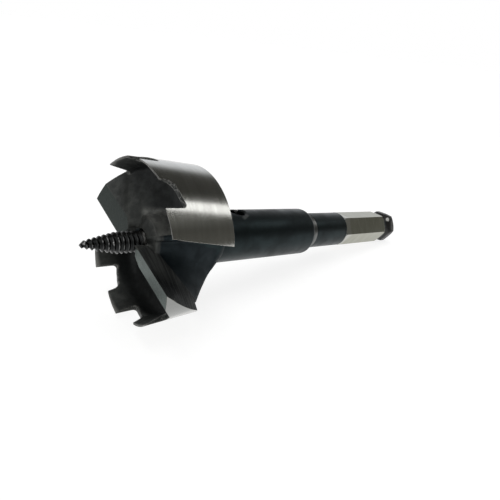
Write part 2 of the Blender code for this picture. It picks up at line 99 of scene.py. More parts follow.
# Camera, at the photograph's viewing angle, in the bit's own frame
CAMERA_PLACE = Vector((0.105335, 0.001552, 0.050167))
CAMERA_BACK = Vector((0.7507, 0.0478, 0.6589))
CAMERA_UP = Vector((0.0, 0.9974, -0.0724))
CAMERA_LENS = 31.175

# Places on the bit that the photograph shows
WORN_GLINT_SPOT = Vector((0.0052, 0.0025, -0.1170))       # rubbed bare and painted as a highlight, behind the groove
HOLE_PAINTED_GLINT = Vector((0.0009, 0.0077, -0.0365))      # painted highlight on the edge of the set screw's hole
HOLE_WORN_SHEEN = Vector((0.0058, 0.0055, -0.0362))     # lighter streak beside that hole: rubbed wear and a painted dull highlight
WORN_SHEEN_ACROSS = Vector((0.62, -0.60, -0.50))        # direction across the streak
# Each mark is full up to its first distance and gone beyond its second
WORN_GLINT_SPOT_SIZE = (0.0006, 0.0010)
PAINTED_GLINT_SIZE = (0.0005, 0.0008)
WORN_SHEEN_LENGTH = (0.0006, 0.0023)
WORN_SHEEN_WIDTH = (0.0003, 0.0009)
HEX_START_BAND = 0.0032        # the flats are lighter on this length beside the middle shank

# Where the finishes and the painted light and shade change inside the head: distances from the bit's axis,
# and depths below the tips
# The bowl's black turns to painted shade between these depths below the tips
BOWL_SHADE_FROM = 0.0015
BOWL_SHADE_TO = 0.0080
# Round the screw the boss and core are painted lighter: a faced finish, and painted light
BOSS_NEAR = 0.0074
BOSS_FAR = 0.0095
BOSS_FROM = 0.0044
BOSS_TO = 0.0056
# Painted highlight: lighter bands along the rim wall's rounded edges and along the tooth tips
WALL_NEAR = 0.0155
WALL_FAR = 0.0180
# Grey on edges near the rim: wear, and painted highlight on the rounded edges
RIM_WEAR_NEAR = 0.0150
RIM_WEAR_FAR = 0.0185
TIP_NEAR = 0.0185
TIP_FAR = 0.0198
TIP_FROM = 0.0002
TIP_TO = 0.0014
# Between these reaches the milled rake goes from painted light near the axis to painted shade outward
MILL_NEAR = 0.009
MILL_FAR = 0.017
CREASE_DEPTH = 0.0053
CREASE_BEND = 30.0             # the crease drops by this times the squared distance from the axis

# Distances towards the ends of the rim segments, between which the rim turns to a darker painted shade for
# the shadowed floor that it mirrors
RIM_SHADE_FROM = 0.0203
RIM_SHADE_TO = 0.0212

# On the feed screw
CREST_WEAR_AND_SHINE_HEIGHT = 0.0025     # the crests' lighter colour, wear and painted highlight, is full above this and fades below as painted shade
STEM_FROM = 0.0030             # the stem's lighter colour, painted light, begins between these depths below the tooth tips
STEM_TO = 0.0040

# Radii over which edges look rounded
FINE_EDGE = 0.00012
HEX_EDGE = 0.00015
BLACK_EDGE = 0.00022
END_EDGE = 0.0004
FORGED_EDGE = 0.0006
FORGED_BROAD_EDGE = 0.0013

NEAR = 0.00012                 # how close a face lies to the surface that it is taken for
FLAT_MATCH = 0.999             # these three are cosines of how far a face may turn from that surface
LAND_MATCH = 0.9995
ROUND_MATCH = 0.98
RAKE_SLACK = 4.0               # how far a rake face may lie behind its true surface, in degrees
JOIN = 2e-6                    # vertices closer than this are one
SHARP_ANGLE = 28.0             # edges that turn more than this stay sharp


def bit_matrix():
    """The way the bit lies: rear rim edge and hex flat on the floor, tip toward -X."""
    corner = HEX_FLATS / math.sqrt(3)
    taper = (corner - END_RADIUS) / (SHANK_END - TAPER_START)
    flat_end = TAPER_START + (corner - HEX_FLATS / 2) / taper
    tilt = math.atan2(REAR_RADIUS - HEX_FLATS / 2, flat_end - HEAD_LENGTH)
    height = REAR_RADIUS * math.cos(tilt) + HEAD_LENGTH * math.sin(tilt)
    front = -SCREW_TIP * math.cos(tilt)
    back = SHANK_END * math.cos(tilt) + END_RADIUS * math.sin(tilt)
    lay_down = Matrix.Rotation(tilt - math.radians(90), 4, "Y")
    roll = Matrix.Rotation(math.radians(-HEX_ANGLE), 4, "Z")
    return Matrix.Translation((-(front + back) / 2, 0, height)) @ lay_down @ roll


BIT = bit_matrix()


def polar(radius, angle, height):
    a = math.radians(angle)
    return Vector((radius * math.cos(a), radius * math.sin(a), height))


# Materials: each is a small node tree in the bit's own coordinates

class Tree:
    """Short calls for making and joining nodes."""

    def __init__(self, tree):
        self.tree = tree

    def node(self, kind, inputs=None, **settings):
        made = self.tree.nodes.new(kind)
        for name, value in settings.items():
            setattr(made, name, value)
        for name, value in (inputs or {}).items():
            self.put(made.inputs[name], value)
        return made

    def put(self, socket, value):
        if isinstance(value, bpy.types.NodeSocket):
            self.tree.links.new(value, socket)
        else:
            socket.default_value = value

    def math(self, operation, *values):
        made = self.node("ShaderNodeMath", operation=operation)
        for i, value in enumerate(values):
            self.put(made.inputs[i], value)
        return made.outputs[0]

    def product(self, first, *others):
        for value in others:
            first = self.math("MULTIPLY", first, value)
        return first

    def vector(self, operation, a, b):
        """A vector sum that gives a vector, or a number for DOT_PRODUCT and DISTANCE."""
        outputs = self.node("ShaderNodeVectorMath", {0: a, 1: b}, operation=operation).outputs
        return outputs["Value" if operation in ("DOT_PRODUCT", "DISTANCE") else "Vector"]

    def place(self):
        """Where a point lies in the bit's own frame."""
        back = BIT.inverted()
        here = self.node("ShaderNodeTexCoord").outputs["Object"]
        inputs = {"Vector": here, "Location": back.to_translation(), "Rotation": back.to_euler("XYZ")}
        return self.node("ShaderNodeMapping", inputs).outputs["Vector"]

    def split(self, vector):
        return self.node("ShaderNodeSeparateXYZ", {"Vector": vector}).outputs

    def stretched(self, scale):
        return self.node("ShaderNodeMapping", {"Vector": self.place(), "Scale": scale}).outputs["Vector"]

    def noise(self, vector, scale, detail=3.0, roughness=0.5):
        inputs = {"Vector": vector, "Scale": scale, "Detail": detail, "Roughness": roughness}
        return self.node("ShaderNodeTexNoise", inputs).outputs["Fac"]

    def fade(self, value, low, high, to_low=0.0, to_high=1.0):
        inputs = {"Value": value, "From Min": low, "From Max": high, "To Min": to_low, "To Max": to_high}
        return self.node("ShaderNodeMapRange", inputs, interpolation_type="SMOOTHSTEP").outputs["Result"]

    def mix(self, share, a, b):
        made = self.node("ShaderNodeMix", data_type="RGBA")
        self.put(made.inputs["Factor"], share)
        self.put(made.inputs["A"], a)
        self.put(made.inputs["B"], b)
        return made.outputs["Result"]

    def bump(self, height, distance, strength=1.0, normal=None):
        inputs = {"Height": height, "Distance": distance, "Strength": strength}
        if normal is not None:
            inputs["Normal"] = normal
        return self.node("ShaderNodeBump", inputs).outputs["Normal"]

    def edge(self, radius):
        """Rounded normals at the edges, and how much they turn there."""
        soft = self.node("ShaderNodeBevel", {"Radius": radius}, samples=6).outputs["Normal"]
        face = self.node("ShaderNodeNewGeometry").outputs["Normal"]
        return soft, self.fade(self.vector("DOT_PRODUCT", soft, face), 1.0, 0.80)


def material(name, metallic=1.0, **constants):
    """A new material, with its tree and its shader. Constants are named like the shader's sockets."""
    mat = bpy.data.materials.new(name)
    mat.use_nodes = True
    tree = Tree(mat.node_tree)
    shader = mat.node_tree.nodes["Principled BSDF"]
    shader.inputs["Metallic"].default_value = metallic
    for label, value in constants.items():
        shader.inputs[label.replace("_", " ")].default_value = value
    return mat, tree, shader


def near_spot(tree, spot, size):
    """1 at a spot on the bit and 0 beyond it."""
    return tree.fade(tree.vector("DISTANCE", tree.place(), spot), size[1], size[0])


def hole_marks(tree, base):
    """Marks beside the set screw's hole: a painted highlight on its edge, and a lighter streak that is
    rubbed wear and painted dull highlight.
    """
    # A lighter grey streak: rubbed wear, and a painted dull highlight.
    worn_sheen_streak = near_spot(tree, HOLE_WORN_SHEEN, WORN_SHEEN_LENGTH)
    offset = tree.vector("SUBTRACT", tree.place(), HOLE_WORN_SHEEN)
    across = tree.vector("DOT_PRODUCT", offset, WORN_SHEEN_ACROSS)
    thin = tree.fade(tree.math("ABSOLUTE", across), WORN_SHEEN_WIDTH[1], WORN_SHEEN_WIDTH[0])
    base = tree.mix(tree.product(worn_sheen_streak, thin), base, (0.13, 0.14, 0.14, 1.0))
    # Painted highlight: a near-white glint on the hole's edge.
    return tree.mix(near_spot(tree, HOLE_PAINTED_GLINT, PAINTED_GLINT_SIZE), base, (0.85, 0.85, 0.85, 1.0))


def black_oxide(name, tint, worn, roughness, pits):
    """Blackened steel: slightly mottled, finely pitted, and worn to grey along its edges."""
    mat, tree, shader = material(name, metallic=0.9)
    cloud = tree.noise(tree.place(), 180.0, 4.0)
    fine = tree.noise(tree.place(), 2600.0, 3.0, 0.65)
    soft, wear = tree.edge(BLACK_EDGE)
    dark = (tint[0] * 0.6, tint[1] * 0.6, tint[2] * 0.6, 1.0)
    base = tree.mix(tree.fade(cloud, 0.35, 0.7), (*tint, 1.0), dark)
    patches = tree.fade(tree.noise(tree.place(), 700.0, 3.0), 0.35, 0.6, 0.25, 1.0)
    rubbed = tree.product(wear, patches)
    # hole_marks paints a highlight and a lighter streak beside the set screw's hole.
    tree.put(shader.inputs["Base Color"], hole_marks(tree, tree.mix(rubbed, base, (*worn, 1.0))))
    tree.put(shader.inputs["Roughness"], tree.fade(cloud, 0.3, 0.75, roughness, roughness + 0.14))
    tree.put(shader.inputs["Normal"], tree.bump(fine, pits, 1.0, soft))
    return mat


def forged_black():
    """Inside of the head: rough forged black, darker towards the bowl's floor as painted shade, lighter on
    the boss and core as a faced finish and painted light, and lighter on edges and tooth tips as wear and
    painted highlight.
    """
    mat, tree, shader = material("forged_black", metallic=0.35, Specular_IOR_Level=0.22)
    x, y, z = tree.split(tree.place())
    # Painted shade: the black darkens towards the bowl's floor.
    depth = tree.fade(z, -BOWL_SHADE_FROM, -BOWL_SHADE_TO)
    reach = tree.math("SQRT", tree.math("ADD", tree.product(x, x), tree.product(y, y)))
    # Faced finish and painted light: the boss and core round the screw are lighter.
    faced_and_lit_boss = tree.product(tree.fade(reach, BOSS_FAR, BOSS_NEAR), tree.fade(z, -BOSS_FROM, -BOSS_TO))
    cloud = tree.noise(tree.place(), 420.0, 5.0, 0.6)
    grain = tree.noise(tree.place(), 1500.0, 4.0, 0.65)
    soft, wear = tree.edge(FORGED_EDGE)
    broad = tree.edge(FORGED_BROAD_EDGE)[1]
    mottle = tree.fade(cloud, 0.35, 0.65)
    light = tree.mix(mottle, (0.056, 0.059, 0.055, 1.0), (0.035, 0.038, 0.036, 1.0))
    # Shaded copy of the black: painted shade for the bowl's floor.
    shaded_floor_black = tree.mix(mottle, (0.014, 0.016, 0.016, 1.0), (0.008, 0.009, 0.009, 1.0))
    faced_and_lit_black = tree.mix(mottle, (0.135, 0.138, 0.129, 1.0), (0.075, 0.077, 0.073, 1.0))
    base = tree.mix(faced_and_lit_boss, tree.mix(depth, light, shaded_floor_black), faced_and_lit_black)
    # Painted highlight: lighter bands along the rim wall's rounded edges and the tooth tips.
    painted_wall_highlight = tree.product(broad, mottle, tree.fade(reach, WALL_NEAR, WALL_FAR, 0.0, 0.75))
    painted_tip_highlight = tree.product(tree.fade(reach, TIP_NEAR, TIP_FAR), tree.fade(z, -TIP_TO, -TIP_FROM, 0.0, 0.9))
    base = tree.mix(tree.math("MAXIMUM", painted_wall_highlight, painted_tip_highlight), base, (0.24, 0.24, 0.23, 1.0))
    # Edges rubbed grey: wear, and painted highlight on the rounded edges.
    rim = tree.fade(reach, RIM_WEAR_NEAR, RIM_WEAR_FAR, 0.35, 1.0)
    rubbed = tree.product(wear, rim, tree.fade(grain, 0.35, 0.6, 0.6, 1.0))
    tree.put(shader.inputs["Base Color"], tree.mix(rubbed, base, (0.22, 0.22, 0.21, 1.0)))
    tree.put(shader.inputs["Roughness"], tree.fade(cloud, 0.3, 0.75, 0.42, 0.60))
    height = tree.math("MULTIPLY_ADD", cloud, 3.0, grain)
    tree.put(shader.inputs["Normal"], tree.bump(height, 0.00003, 1.0, soft))
    return mat


def end_black():
    """Shank's end behind the groove: neutral black, grey along its edges, with one bright spot that is
    rubbed bare and painted as a highlight.
    """
    mat, tree, shader = material("end_black", metallic=0.6)
    cloud = tree.noise(tree.place(), 500.0, 3.0)
    soft, wear = tree.edge(END_EDGE)
    base = tree.mix(tree.fade(cloud, 0.35, 0.7), (0.034, 0.034, 0.033, 1.0), (0.018, 0.018, 0.018, 1.0))
    base = tree.mix(wear, base, (0.20, 0.20, 0.19, 1.0))
    # A near-white spot: rubbed bare metal with a painted highlight on it.
    rubbed = near_spot(tree, WORN_GLINT_SPOT, WORN_GLINT_SPOT_SIZE)
    tree.put(shader.inputs["Base Color"], tree.mix(rubbed, base, (0.75, 0.75, 0.73, 1.0)))
    tree.put(shader.inputs["Roughness"], tree.fade(cloud, 0.3, 0.75, 0.36, 0.50))
    tree.put(shader.inputs["Normal"], soft)
    return mat


def worn_thread(name, tint, stem, worn):
    """Blackened thread whose crests are lighter, from rubbed wear and painted highlight, fading as painted
    shade deep in the well, on a stem painted lighter as painted light.
    """
    mat, tree, shader = material(name)
    point = tree.node("ShaderNodeNewGeometry").outputs["Pointiness"]
    patches = tree.fade(tree.noise(tree.place(), 1100.0), 0.42, 0.60)
    z = tree.split(tree.place())[2]
    # Painted shade: the crests' lighter colour fades deep in the well.
    higher = tree.fade(z, 0.0, CREST_WEAR_AND_SHINE_HEIGHT, 0.15, 1.0)
    # Crests lighter: rubbed wear and painted highlight.
    rubbed = tree.product(tree.fade(point, 0.51, 0.58), patches, higher)
    # Painted light: the stem is lighter than the thread.
    base = tree.mix(tree.fade(z, -STEM_FROM, -STEM_TO), (*tint, 1.0), (*stem, 1.0))
    tree.put(shader.inputs["Base Color"], tree.mix(rubbed, base, (*worn, 1.0)))
    tree.put(shader.inputs["Roughness"], tree.fade(rubbed, 0.0, 1.0, 0.30, 0.18))
    tree.put(shader.inputs["Normal"], tree.bump(tree.noise(tree.place(), 2600.0), 0.000004))
    return mat


def ground_rim():
    """Outside of the rim: ground bright, with fine grinding lines that run round the bit."""
    mat, tree, shader = material("ground_rim", Anisotropic=0.8, Anisotropic_Rotation=0.25)
    lines = tree.noise(tree.stretched((30.0, 30.0, 5200.0)), 1.0, 4.0, 0.6)
    bands = tree.noise(tree.stretched((60.0, 60.0, 900.0)), 1.0, 2.0, 0.5)
    soft, wear = tree.edge(FINE_EDGE)
    base = tree.mix(tree.fade(bands, 0.3, 0.7), (0.475, 0.475, 0.455, 1.0), (0.43, 0.43, 0.41, 1.0))
    # Painted shade: darker towards the segment ends, standing in for the shadowed floor mirrored there.
    x, y = tree.split(tree.place())[:2]
    end = polar(1.0, RIM_END_ANGLE, 0.0)
    along = tree.math("ADD", tree.product(x, end.x), tree.product(y, end.y))
    dull = tree.fade(tree.math("ABSOLUTE", along), RIM_SHADE_FROM, RIM_SHADE_TO)
    base = tree.mix(dull, base, (0.27, 0.275, 0.265, 1.0))
    tree.put(shader.inputs["Base Color"], tree.mix(wear, base, (0.22, 0.19, 0.15, 1.0)))
    tree.put(shader.inputs["Roughness"], tree.fade(lines, 0.3, 0.7, 0.12, 0.17))
    tree.put(shader.inputs["Normal"], tree.bump(lines, 0.0000015, 1.0, soft))
    axis = BIT.to_3x3() @ Vector((0, 0, 1))
    face = tree.node("ShaderNodeNewGeometry").outputs["Normal"]
    tree.put(shader.inputs["Tangent"], tree.vector("CROSS_PRODUCT", axis, face))
    return mat


def ground_land(name, colour, roughness):
    """Flat ground faces, faintly greenish, with fine straight lines across them."""
    mat, tree, shader = material(name, Specular_Tint=(0.76, 0.81, 0.79, 1.0))
    lines = tree.noise(tree.stretched((4200.0, 500.0, 500.0)), 1.0, 3.0, 0.6)
    soft, wear = tree.edge(FINE_EDGE)
    dull = (colour[0] * 0.78, colour[1] * 0.78, colour[2] * 0.78, 1.0)
    base = tree.mix(tree.fade(lines, 0.35, 0.7), (*colour, 1.0), dull)
    tree.put(shader.inputs["Base Color"], tree.mix(wear, base, (0.30, 0.31, 0.30, 1.0)))
    tree.put(shader.inputs["Roughness"], tree.fade(lines, 0.3, 0.7, roughness, roughness + 0.12))
    tree.put(shader.inputs["Normal"], tree.bump(lines, 0.000008, 1.0, soft))
    return mat


def hex_flat_steel():
    """Bright flats of the hex: faint lines along the shank, fainter marks across, and a lighter start."""
    mat, tree, shader = material("hex_flat_steel")
    lines = tree.noise(tree.stretched((3800.0, 3800.0, 60.0)), 1.0, 3.0, 0.6)
    marks = tree.noise(tree.stretched((200.0, 200.0, 1100.0)), 1.0, 2.0, 0.5)
    soft, wear = tree.edge(HEX_EDGE)
    base = tree.mix(tree.fade(marks, 0.3, 0.7), (0.388, 0.390, 0.332, 1.0), (0.333, 0.332, 0.272, 1.0))
    z = tree.split(tree.place())[2]
    band_end = -MID_END - HEX_START_BAND
    start = tree.fade(z, band_end, band_end + 0.0006, 0.0, 0.7)
    base = tree.mix(start, base, (0.50, 0.50, 0.47, 1.0))
    tree.put(shader.inputs["Base Color"], tree.mix(wear, base, (0.50, 0.50, 0.48, 1.0)))
    tree.put(shader.inputs["Roughness"], tree.fade(lines, 0.3, 0.7, 0.28, 0.31))
    tree.put(shader.inputs["Normal"], tree.bump(lines, 0.0000015, 1.0, soft))
    return mat


def turned_steel(name, bright):
    """Turned faces, with turning lines round them."""
    mat, tree, shader = material(name)
    lines = tree.noise(tree.stretched((40.0, 40.0, 7000.0)), 1.0, 3.0, 0.6)
    base = tree.mix(tree.fade(lines, 0.3, 0.7), (bright, bright * 1.02, bright, 1.0),
                    (bright * 0.68, bright * 0.7, bright * 0.68, 1.0))
    tree.put(shader.inputs["Base Color"], base)
    tree.put(shader.inputs["Roughness"], tree.fade(lines, 0.3, 0.7, 0.28, 0.42))
    tree.put(shader.inputs["Normal"], tree.bump(lines, 0.00001))
    return mat


def rake_steel():
    """Rake face: milled lines in front, painted lighter near the axis and darker outward, and a smooth
    bluish sweep behind a crease that drops outward.
    """
    mat, tree, shader = material("rake_steel", metallic=0.5, Specular_IOR_Level=0.3,
                                 Specular_Tint=(0.35, 0.38, 0.38, 1.0))
    x, y, z = tree.split(tree.place())
    squared_reach = tree.math("ADD", tree.product(x, x), tree.product(y, y))
    crease = tree.math("MULTIPLY_ADD", squared_reach, -CREASE_BEND, -CREASE_DEPTH)
    front = tree.fade(tree.math("SUBTRACT", z, crease), -0.0002, 0.0003)
    mill = tree.noise(tree.stretched((70.0, 70.0, 1300.0)), 1.0, 3.0, 0.6)
    cloud = tree.noise(tree.place(), 260.0, 4.0)
    fine = tree.noise(tree.place(), 2600.0, 3.0, 0.65)
    soft, wear = tree.edge(BLACK_EDGE)
    streaks = tree.fade(mill, 0.40, 0.58)
    # Painted light and shade: the milled part is lighter near the axis and darker outward.
    lit_mill = tree.mix(streaks, (0.050, 0.053, 0.052, 1.0), (0.100, 0.104, 0.100, 1.0))
    shaded_mill = tree.mix(streaks, (0.008, 0.009, 0.009, 1.0), (0.024, 0.025, 0.025, 1.0))
    milled = tree.mix(tree.fade(squared_reach, MILL_NEAR ** 2, MILL_FAR ** 2), lit_mill, shaded_mill)
    smooth = tree.mix(tree.fade(cloud, 0.35, 0.7), (0.020, 0.027, 0.031, 1.0), (0.012, 0.017, 0.020, 1.0))
    base = tree.mix(tree.product(wear, 0.6), tree.mix(front, smooth, milled), (0.10, 0.11, 0.11, 1.0))
    tree.put(shader.inputs["Base Color"], base)
    tree.put(shader.inputs["Roughness"], tree.fade(cloud, 0.3, 0.75, 0.40, 0.54))
    height = tree.math("ADD", tree.product(mill, front, 4.0), tree.product(fine, 0.25))
    tree.put(shader.inputs["Normal"], tree.bump(height, 0.00002, 1.0, soft))
    return mat


# Pieces

def new_piece(name, mesh, node):
    """Link a piece made in the bit's own frame, lay it down, and let it stand for a CAD node."""
    mesh.transform(BIT)
    piece = bpy.data.objects.new(name, mesh)
    bpy.context.scene.collection.objects.link(piece)
    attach(piece, "root")
    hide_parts(node)


def copy_of_node(node, name):
    """A copy of a CAD node's mesh in the bit's own frame, with its split vertices joined again."""
    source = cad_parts[node]
    mesh = source.data.copy()
    mesh.name = name
    mesh.materials.clear()
    bm = bmesh.new()
    bm.from_mesh(mesh)
    bmesh.ops.transform(bm, matrix=BIT.inverted() @ source.matrix_world, verts=bm.verts)
    bmesh.ops.remove_doubles(bm, verts=bm.verts, dist=JOIN)
    bm.to_mesh(mesh)
    bm.free()
    return mesh


def clear_lip_fronts(mesh):
    """Press the thin slivers that stand beside the screw down to the lips' inner ends."""
    bm = bmesh.new()
    bm.from_mesh(mesh)
    for vert in bm.verts:
        if vert.co.z > -LIP_DEPTH and math.hypot(vert.co.x, vert.co.y) < SLIVER_REACH:
            vert.co.z = -LIP_DEPTH
    bmesh.ops.remove_doubles(bm, verts=bm.verts, dist=JOIN)
    bmesh.ops.dissolve_degenerate(bm, edges=bm.edges, dist=JOIN)
    bm.to_mesh(mesh)
    bm.free()


def rim_radius(height):
    """Outside radius of the rim, which is widest at its teeth."""
    return TIP_RADIUS + (TIP_RADIUS - REAR_RADIUS) / HEAD_LENGTH * height


def on_hex(centre, normal):
    """Whether a face lies on one of the six flats."""
    for i in range(6):
        flat = polar(1.0, HEX_ANGLE + 60 * i, 0.0)
        if normal.dot(flat) > FLAT_MATCH and abs(centre.dot(flat) - HEX_FLATS / 2) < NEAR:
            return True
    return False


def on_hole_lip(centre, normal):
    """Whether a face belongs to the bevel round the set screw's hole."""
    out = polar(1.0, HEX_ANGLE, 0.0)
    beside = abs(centre.z + SET_DEPTH) < HOLE_RADIUS + HOLE_LIP * 2
    return beside and centre.dot(out) > FAT_RADIUS - HOLE_LIP * 2 and 0.5 < normal.dot(out) < 0.9


def on_land(normal):
    """Whether a face is turned like the ground land of one of the two lips."""
    lean = math.radians(LIP_RELIEF)
    for turn in (0.0, 180.0):
        back = polar(1.0, LIP_ANGLE + turn - 90.0, 0.0)
        if normal.dot(back * math.sin(lean) + Vector((0, 0, math.cos(lean)))) > LAND_MATCH:
            return True
    return False


def on_rake(centre, normal, reach, outward):
    """Whether a face belongs to one of the two twisted rake faces, or to the core behind one."""
    angle = math.degrees(math.atan2(centre.y, centre.x))
    rake_at = LIP_ANGLE - 180.0 - RAKE_TWIST * (-centre.z - LIP_DEPTH)
    for turn in (0.0, 180.0):
        ahead = (angle - rake_at - turn + 180.0) % 360.0 - 180.0
        faces = normal.dot(polar(1.0, rake_at + turn + 90.0, 0.0))
        if -RAKE_SLACK < ahead < RAKE_SPAN and faces > 0.35 and abs(outward) < 0.8:
            return True
        in_core = reach < CORE_FAR and centre.z < -CORE_TOP and normal.z < 0.6
        if -RAKE_SLACK < ahead < GAP_CORE_SPAN and in_core:
            return True
    return False


def finish_of(centre, normal):
    """Name of the finish that a face of the body has, from where it lies and which way it faces."""
    reach = math.hypot(centre.x, centre.y)
    outward = (normal.x * centre.x + normal.y * centre.y) / max(reach, 1e-9)
    z = centre.z
    if abs(reach - rim_radius(z)) < NEAR and outward > 0.95 and z > -HEAD_LENGTH - NEAR:
        return "rim"
    if -GROOVE_START < z < -MID_END - NEAR and outward > 0.8 and on_hex(centre, normal):
        return "hex"
    if -FAT_END - NECK_LENGTH - NEAR < z < -FAT_END - NEAR:
        return "neck"
    if abs(z + MID_END) < HEX_LEAD:
        return "cone"
    if on_hole_lip(centre, normal):
        return "mouth"
    if z > -HEAD_LENGTH * 0.3 and on_land(normal):
        return "land"
    if z < -SHANK_END + END_LENGTH and outward > -NEAR:
        return "end"
    if z > -BACK_DEPTH + 0.001 and reach > CORE_NEAR and on_rake(centre, normal, reach, outward):
        return "rake"
    return "bowl" if z > -BOWL_DEPTH else "black"


def on_round_shank(centre, outward):
    """Whether a face belongs to the round side of the fat or the middle shank."""
    reach = math.hypot(centre.x, centre.y)
    if -FAT_END + FAT_ROUND < centre.z < -FAT_START:
        return reach > FAT_RADIUS * 0.995 and outward > ROUND_MATCH
    if -MID_END + HEX_LEAD < centre.z < -FAT_END - NECK_LENGTH - NEAR:
        return reach > MID_RADIUS * 0.99 and outward > ROUND_MATCH
    return False


def smooth_normals(mesh, kinds):
    """Give turned and ground faces the normals of the true cylinder, cone or plane."""
    mesh.shade_smooth()
    mesh.set_sharp_from_angle(angle=math.radians(SHARP_ANGLE))
    slope = (TIP_RADIUS - REAR_RADIUS) / HEAD_LENGTH
    normals = [corner.vector.copy() for corner in mesh.corner_normals]
    for face, kind in zip(mesh.polygons, kinds):
        for k in face.loop_indices:
            place = mesh.vertices[mesh.loops[k].vertex_index].co
            around = Vector((place.x, place.y, 0.0)).normalized()
            if kind == "rim":
                normals[k] = (around - Vector((0, 0, slope))).normalized()
            elif kind in ("land", "hex"):
                normals[k] = face.normal.copy()
            elif kind == "black" and on_round_shank(face.center, face.normal.dot(around)):
                normals[k] = around
    mesh.normals_split_custom_set(normals)


def bit_body():
    finishes = {
        "black": black_oxide("black_oxide", (0.018, 0.027, 0.029), (0.11, 0.12, 0.12), 0.34, 0.000012),
        "bowl": forged_black(),
        "rim": ground_rim(),
        "land": ground_land("ground_land", (0.056, 0.062, 0.060), 0.26),
        "end": end_black(),
        "rake": rake_steel(),
        "hex": hex_flat_steel(),
        "cone": turned_steel("turned_cone", 0.36),
        "neck": turned_steel("turned_neck", 0.20),
        "mouth": black_oxide("hole_mouth", (0.030, 0.036, 0.037), (0.10, 0.10, 0.10), 0.40, 0.000006),
    }
    mesh = copy_of_node("cutter_body", "bit_body")
    clear_lip_fronts(mesh)
    for mat in finishes.values():
        mesh.materials.append(mat)
    order = list(finishes)
    kinds = [finish_of(face.center, face.normal) for face in mesh.polygons]
    for face, kind in zip(mesh.polygons, kinds):
        face.material_index = order.index(kind)
    smooth_normals(mesh, kinds)
    new_piece("bit_body", mesh, "cutter_body")


def thread_radius(height, phase):
    """Radius of the thread at a height; phase runs from 0 to 1 over one pitch."""
    share = min(max((SCREW_TIP - height) / THREAD_TAPER, 0.0), 1.0)
    crest = THREAD_RADIUS * (THREAD_BLUNT + (1 - THREAD_BLUNT) * share ** 0.8)
    depth = min(THREAD_DEPTH, crest * THREAD_MOST)
    return crest - depth * (0.5 - 0.5 * math.cos(2 * math.pi * phase)) ** 0.8


def thread_surface(bm, rows, steps):
    """A rounded helical thread that tapers to a point: rows over one pitch, steps round one turn."""
    rise = THREAD_PITCH / rows
    count = int((SCREW_TIP + THREAD_FOOT) / rise) - rows
    grid = []
    for k in range(count + rows + 1):
        row = []
        for j in range(steps):
            height = SCREW_TIP - THREAD_START - rise * k - THREAD_PITCH * j / steps
            radius = thread_radius(height, (k % rows) / rows)
            row.append(bm.verts.new(polar(radius, -360 * j / steps, height)))
        grid.append(row)

    def vert(k, j):
        return grid[k][j] if j < steps else grid[k + rows][j - steps]

    for k in range(count):
        for j in range(steps):
            bm.faces.new((vert(k, j), vert(k, j + 1), vert(k + 1, j + 1), vert(k + 1, j)))
    for k, height in ((0, SCREW_TIP), (count, -THREAD_FOOT - THREAD_PITCH)):
        loop = [vert(k, j) for j in range(steps + 1)]
        loop += [vert(k + i, 0) for i in range(rows - 1, 0, -1)]
        apex = bm.verts.new((0, 0, height))
        for a, b in zip(loop, loop[1:] + loop[:1]):
            bm.faces.new((apex, a, b))
    unused = [v for v in bm.verts if not v.link_faces]
    bmesh.ops.delete(bm, geom=unused, context="VERTS")


def turned_form(bm, top, rings, bottom, steps):
    """A closed form turned round the axis: (radius, height) rings between two points on the axis."""
    made = []
    for radius, height in rings:
        made.append([bm.verts.new(polar(radius, 360 * j / steps, height)) for j in range(steps)])
    for upper, lower in zip(made, made[1:]):
        for j in range(steps):
            bm.faces.new((upper[j - 1], upper[j], lower[j], lower[j - 1]))
    for ring, height in ((made[0], top), (made[-1], bottom)):
        apex = bm.verts.new((0, 0, height))
        for j in range(steps):
            bm.faces.new((apex, ring[j - 1], ring[j]))


def threaded_point():
    """The feed screw: its thread, on a plain stem."""
    steps = 48
    bm = bmesh.new()
    thread_surface(bm, 12, steps)
    shoulder = -THREAD_FOOT + THREAD_PITCH
    rings = [(THREAD_RADIUS - THREAD_DEPTH, shoulder), (STEM_RADIUS, -THREAD_FOOT), (STEM_RADIUS, -STEM_END)]
    turned_form(bm, shoulder, rings, -STEM_END, steps)
    bmesh.ops.recalc_face_normals(bm, faces=bm.faces)
    mesh = bpy.data.meshes.new("threaded_point")
    bm.to_mesh(mesh)
    bm.free()
    mesh.shade_smooth()
    mesh.set_sharp_from_angle(angle=math.radians(60))
    mesh.materials.append(
        worn_thread("blackened_thread", (0.022, 0.023, 0.023), (0.060, 0.060, 0.056), (0.32, 0.32, 0.32)))
    new_piece("threaded_point", mesh, "feed_screw")


def socket_screw():
    mesh = copy_of_node("set_screw", "socket_screw")
    mesh.shade_smooth()
    mesh.set_sharp_from_angle(angle=math.radians(SHARP_ANGLE))
    mesh.materials.append(
        black_oxide("blackened_socket", (0.022, 0.024, 0.027), (0.20, 0.20, 0.21), 0.30, 0.000006))
    new_piece("socket_screw", mesh, "set_screw")


# Studio

